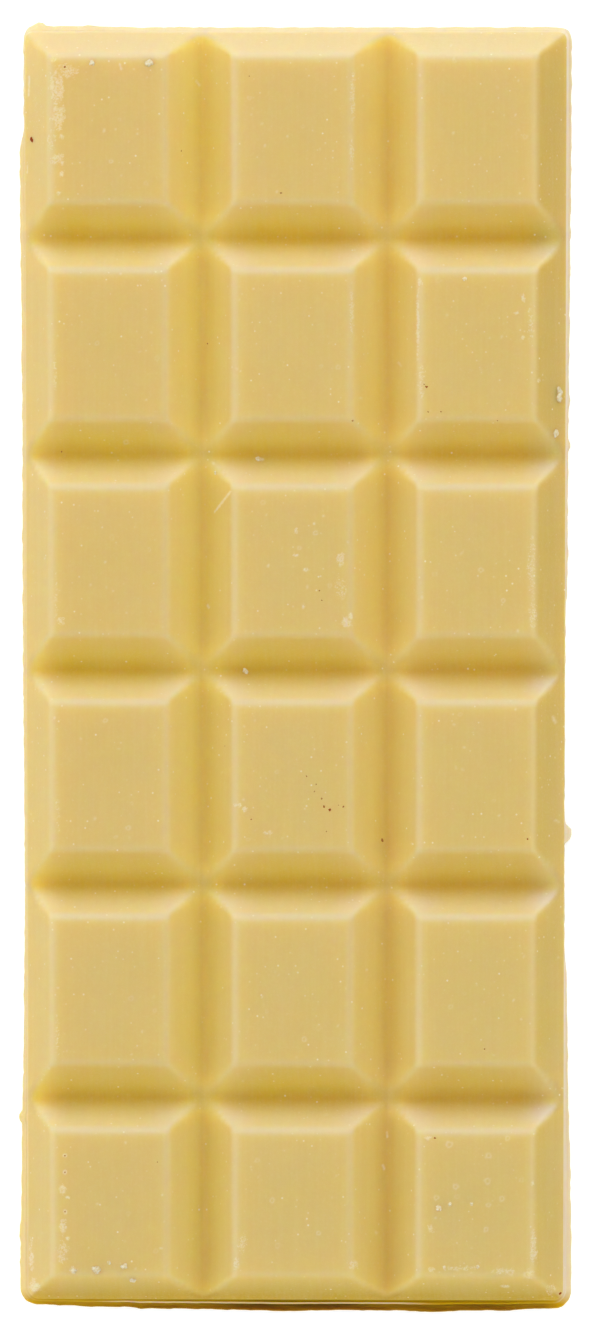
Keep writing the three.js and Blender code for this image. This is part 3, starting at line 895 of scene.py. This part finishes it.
class Recipe:
    """A material whose colours and strengths come from chained nodes."""

    def __init__(self, name, roughness):
        self.material = bpy.data.materials.new(name)
        self.material.use_nodes = True
        self.tree = self.material.node_tree
        self.shader = self.tree.nodes["Principled BSDF"]
        self.shader.inputs["Roughness"].default_value = roughness
        self.shader.inputs["IOR"].default_value = 1.46
        self.shader.inputs["Specular IOR Level"].default_value = 0.06
        self.column = 0

    def add(self, kind, *values):
        """A node whose first inputs are set to values, colours or other nodes' outputs."""
        made = self.tree.nodes.new(kind)
        self.column += 1
        made.location = (200 * self.column - 3600, 300 - 160 * (self.column % 4))
        for socket, value in zip(made.inputs, values):
            if isinstance(value, bpy.types.NodeSocket):
                self.tree.links.new(value, socket)
            elif value is not None:
                socket.default_value = value
        return made

    def stored(self, name, output="Fac"):
        """A number or a colour stored on the mesh's points."""
        made = self.add("ShaderNodeAttribute")
        made.attribute_name = name
        return made.outputs[output]

    def blend(self, share, first, second):
        """A colour between two others."""
        made = self.add("ShaderNodeMix", share)
        made.data_type = "RGBA"
        for socket, value in ((made.inputs[6], first), (made.inputs[7], second)):
            if isinstance(value, bpy.types.NodeSocket):
                self.tree.links.new(value, socket)
            else:
                socket.default_value = (*value, 1)
        return made.outputs[2]

    def times(self, first, second):
        """The product of two numbers."""
        made = self.add("ShaderNodeMath", first, second)
        made.operation = "MULTIPLY"
        return made.outputs[0]

    def spread(self, value, *levels):
        """A number spread from between two levels to between 0 and 1, or two further levels."""
        return self.add("ShaderNodeMapRange", value, *levels).outputs["Result"]

    def spots(self, size, low, high, detail=2.0, stretch=(1, 1, 1)):
        """Noise of a given size in metres on the object's own coordinates, spread between two levels."""
        place = self.add("ShaderNodeTexCoord").outputs["Object"]
        scaled = self.add("ShaderNodeMapping", place)
        scaled.inputs["Scale"].default_value = [share / size for share in stretch]
        texture = self.add("ShaderNodeTexNoise", scaled.outputs["Vector"])
        texture.inputs["Scale"].default_value = 1
        texture.inputs["Detail"].default_value = detail
        return self.spread(texture.outputs[0], low, high)

    def grains(self, thickness, size):
        """Ragged grains that cover more of the surface where a stored thickness is greater."""
        needed = self.spread(thickness, 0, 1, 0.8, 0.38)
        enough = self.add("ShaderNodeMath", needed, 0.05).outputs[0]
        return self.spread(self.spots(size, 0, 1, 3.0), needed, enough)

    def flecks(self, spacing, size):
        """Clusters of round flecks of uneven size and strength, with their spacing and size in metres."""
        place = self.add("ShaderNodeTexCoord").outputs["Object"]
        cells = self.add("ShaderNodeTexVoronoi", place)
        cells.inputs["Scale"].default_value = 1 / spacing
        reach = size / spacing
        near = self.spread(cells.outputs["Distance"], reach, 0.4 * reach)
        chosen = self.spread(cells.outputs["Color"], 0.45, 0.8)
        return self.times(self.times(near, chosen), self.spots(5 * MM, 0.42, 0.58))

    def glow(self, depth):
        """Light passes through, red furthest and blue least."""
        self.shader.inputs["Subsurface Weight"].default_value = 1
        self.shader.inputs["Subsurface Radius"].default_value = (1.0, 0.6, 0.15)
        self.shader.inputs["Subsurface Scale"].default_value = depth

    def finish(self, colour, height, strength, distance):
        """Joins a colour and a bump height to the shader."""
        self.tree.links.new(colour, self.shader.inputs["Base Color"])
        bump = self.add("ShaderNodeBump", strength, distance)
        self.tree.links.new(height, bump.inputs["Height"])
        self.tree.links.new(bump.outputs["Normal"], self.shader.inputs["Normal"])
        return self.material


def chocolate_material(finish):
    """Cocoa butter yellow as stored with painted light and shade, cloudy, dull walls with a painted ledge
    highlight, pale bloom and grain, and painted shade in olive and brown at the foot.
    """
    recipe = Recipe("white chocolate", finish.roughness)
    grains = recipe.grains(recipe.stored("haze"), 0.2 * MM)
    # The painted shade on the bottom end's foot, as stored
    foot_shade = recipe.stored("brown")
    layers = (
        (recipe.times(recipe.spots(6 * MM, 0.35, 0.65), 0.08), finish.edge),
        # Dull whitish wall, and the painted highlight on the ledge
        (recipe.stored("dull"), finish.dull),
        (recipe.times(recipe.spots(0.45 * MM, 0.4, 0.7, 2.0, (1, 0.035, 0.1)), 0.035), finish.bloom),
        (recipe.times(recipe.stored("pale"), 0.8), finish.bloom),
        (recipe.times(recipe.flecks(0.9 * MM, 0.16 * MM), 0.9), finish.bloom),
        (recipe.times(grains, 0.33), finish.bloom),
        (recipe.times(recipe.spots(0.3 * MM, 0.5, 0.8, 4.0), 0.08), finish.bloom),
        # Painted shade on the bottom end's foot: olive, then brown
        (recipe.spread(foot_shade, 0, 0.5), finish.olive_shade),
        (recipe.spread(foot_shade, 0.5, 1), finish.brown),
    )
    colour = recipe.stored("tint", "Color")
    for share, shade in layers:
        colour = recipe.blend(share, colour, shade)
    # Rougher where the painted shade lies on the foot
    foot_roughness = recipe.spread(foot_shade, 0, 0.5, finish.roughness, 0.95)
    recipe.tree.links.new(foot_roughness, recipe.shader.inputs["Roughness"])
    recipe.glow(finish.glow_depth)
    bumps = recipe.add("ShaderNodeMath", recipe.spots(0.7 * MM, 0.3, 0.7, 4.0), grains).outputs[0]
    return recipe.finish(colour, bumps, 0.25, 0.05 * MM)


def crumb_material(finish):
    """Dry, whitish crumbs with a little of the bar's own yellow."""
    recipe = Recipe("dry crumb", 0.75)
    colour = recipe.blend(recipe.spots(0.25 * MM, 0.35, 0.7, 3.0), finish.bloom, finish.face)
    return recipe.finish(colour, recipe.spots(0.12 * MM, 0.3, 0.7, 3.0), 0.5, 0.05 * MM)


def speck_material(finish):
    """Dark to orange-brown specks, mottled."""
    recipe = Recipe("brown speck", 0.85)
    faint = [0.45 * face + 0.55 * dark for face, dark in zip(finish.face, finish.speck)]
    toned = recipe.blend(recipe.stored("tone"), faint, finish.speck)
    mottled = recipe.blend(recipe.times(recipe.spots(0.12 * MM, 0.4, 0.8), 0.15), toned, finish.brown)
    return recipe.finish(mottled, recipe.spots(0.08 * MM, 0.3, 0.7), 0.4, 0.03 * MM)


class CHOCOLATE_OT_moulded_bar(bpy.types.Operator):
    """Build the moulded bar with its bloom and bubble rings, to stand for the plain solid"""

    bl_idname = "chocolate.moulded_bar"
    bl_label = "Moulded bar"

    def execute(self, context):
        scene = context.scene
        bar = make_bar(scene.bar_shape, scene.bar_marks, scene.bar_finish)
        bar.data.materials.append(chocolate_material(scene.bar_finish))
        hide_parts(SOLID)
        declare(bar)
        context.view_layer.update()
        return {"FINISHED"}


class CHOCOLATE_OT_loose_crumbs(bpy.types.Operator):
    """Lay the dry crumbs on the bar"""

    bl_idname = "chocolate.loose_crumbs"
    bl_label = "Loose crumbs"

    def execute(self, context):
        scene = context.scene
        crumbs = make_lumps("loose_crumbs", scene.bar_shape, CRUMBS, flatness=0.55, sunk=0.15, seed=51)
        crumbs.data.materials.append(crumb_material(scene.bar_finish))
        declare(crumbs)
        return {"FINISHED"}


class CHOCOLATE_OT_brown_specks(bpy.types.Operator):
    """Set the brown specks into the bar's surface"""

    bl_idname = "chocolate.brown_specks"
    bl_label = "Brown specks"

    def execute(self, context):
        scene = context.scene
        lumps = SPECKS + [(u, v, 0.11, 0.6) for u, v in PITS]
        places = [lump[:3] for lump in lumps]
        specks = make_lumps("brown_specks", scene.bar_shape, places, flatness=0.4, sunk=0.1, seed=61)
        tones = [lump[3] for lump in lumps]
        add_mark(specks, "tone", np.repeat(tones, len(specks.data.vertices) // len(lumps)))
        specks.data.materials.append(speck_material(scene.bar_finish))
        declare(specks)
        return {"FINISHED"}


def softbox(side, power, around, up, size):
    """A rectangular softbox a metre away that faces the bar, at angles from the top end and the floor."""
    lamp = bpy.data.lights.new(side + " softbox", "AREA")
    lamp.shape = "RECTANGLE"
    lamp.energy = power
    lamp.size, lamp.size_y = size
    around, up = math.radians(around), math.radians(up)
    away = Vector((math.sin(around) * math.cos(up), math.cos(around) * math.cos(up), math.sin(up)))
    holder = link(lamp.name, lamp)
    holder.location = away
    holder.rotation_mode = "QUATERNION"
    holder.rotation_quaternion = away.to_track_quat("Z", "Y")


def make_camera(stage):
    """A long lens almost straight above, leaning a little to the right."""
    back = Vector((math.tan(stage.tilt_right), math.tan(stage.tilt_up), 1)).normalized()
    right = Vector((0, 1, 0)).cross(back).normalized()
    up = back.cross(right)
    middle = Vector((*stage.frame_middle, 0))
    lens = bpy.data.cameras.new("camera")
    lens.sensor_width = 36
    lens.lens = lens.sensor_width * stage.camera_distance / stage.frame_height
    lens.clip_start, lens.clip_end = 0.1, 2 * stage.camera_distance
    camera = link("camera", lens)
    turn = Matrix((right, up, back)).transposed().to_4x4()
    camera.matrix_world = Matrix.Translation(middle + back * stage.camera_distance) @ turn
    bpy.context.scene.camera = camera


def make_floor(stage):
    """A plain pale floor that glows faintly, as a light table does."""
    half, gap = 3.0, 0.02 * MM
    corners = [(-half, -half, -gap), (half, -half, -gap), (half, half, -gap), (-half, half, -gap)]
    floor = new_mesh_object("floor", corners, [(0, 1, 2, 3)], scale=1)
    material = bpy.data.materials.new("pale floor")
    material.use_nodes = True
    shader = material.node_tree.nodes["Principled BSDF"]
    shader.inputs["Base Color"].default_value = (*stage.floor_colour, 1)
    shader.inputs["Roughness"].default_value = 0.9
    shader.inputs["Emission Color"].default_value = (1, 1, 1, 1)
    shader.inputs["Emission Strength"].default_value = stage.floor_glow
    floor.data.materials.append(material)


def make_surround(stage):
    """Even light from all round."""
    world = bpy.data.worlds.new("studio")
    world.use_nodes = True
    background = world.node_tree.nodes["Background"]
    background.inputs["Color"].default_value = (1, 1, 1, 1)
    background.inputs["Strength"].default_value = stage.surround
    bpy.context.scene.world = world


class CHOCOLATE_OT_studio_stage(bpy.types.Operator):
    """Set up the pale floor, the soft light and the camera"""

    bl_idname = "chocolate.studio_stage"
    bl_label = "Studio stage"

    def execute(self, context):
        stage = context.scene.bar_stage
        make_floor(stage)
        make_camera(stage)
        make_surround(stage)
        for side, around, up, size in SOFTBOXES:
            softbox(side, getattr(stage, side + "_light"), around, up, size)
        context.scene.view_settings.view_transform = "Standard"
        return {"FINISHED"}


class CHOCOLATE_PT_panel(bpy.types.Panel):
    """Lists the bar's pieces and its stage"""

    bl_label = "White chocolate bar"
    bl_space_type = "VIEW_3D"
    bl_region_type = "UI"
    bl_category = "Chocolate"

    def draw(self, context):
        layout = self.layout
        for operator in OPERATORS:
            layout.operator(operator.bl_idname)
        for name in GROUPS:
            group = getattr(context.scene, name)
            box = layout.box()
            for setting in group.__annotations__:
                box.prop(group, setting)


OPERATORS = (
    CHOCOLATE_OT_moulded_bar, CHOCOLATE_OT_loose_crumbs, CHOCOLATE_OT_brown_specks, CHOCOLATE_OT_studio_stage,
)
GROUPS = {"bar_shape": BarShape, "bar_marks": BarMarks, "bar_finish": BarFinish, "bar_stage": BarStage}


def register():
    for item in (*GROUPS.values(), *OPERATORS, CHOCOLATE_PT_panel):
        bpy.utils.register_class(item)
    for name, group in GROUPS.items():
        setattr(bpy.types.Scene, name, PointerProperty(type=group))


def unregister():
    for name in GROUPS:
        delattr(bpy.types.Scene, name)
    for item in reversed((*GROUPS.values(), *OPERATORS, CHOCOLATE_PT_panel)):
        bpy.utils.unregister_class(item)


def main():
    register()
    bpy.ops.chocolate.moulded_bar()
    bpy.ops.chocolate.loose_crumbs()
    bpy.ops.chocolate.brown_specks()
    bpy.ops.chocolate.studio_stage()


if __name__ == "__main__":
    main()
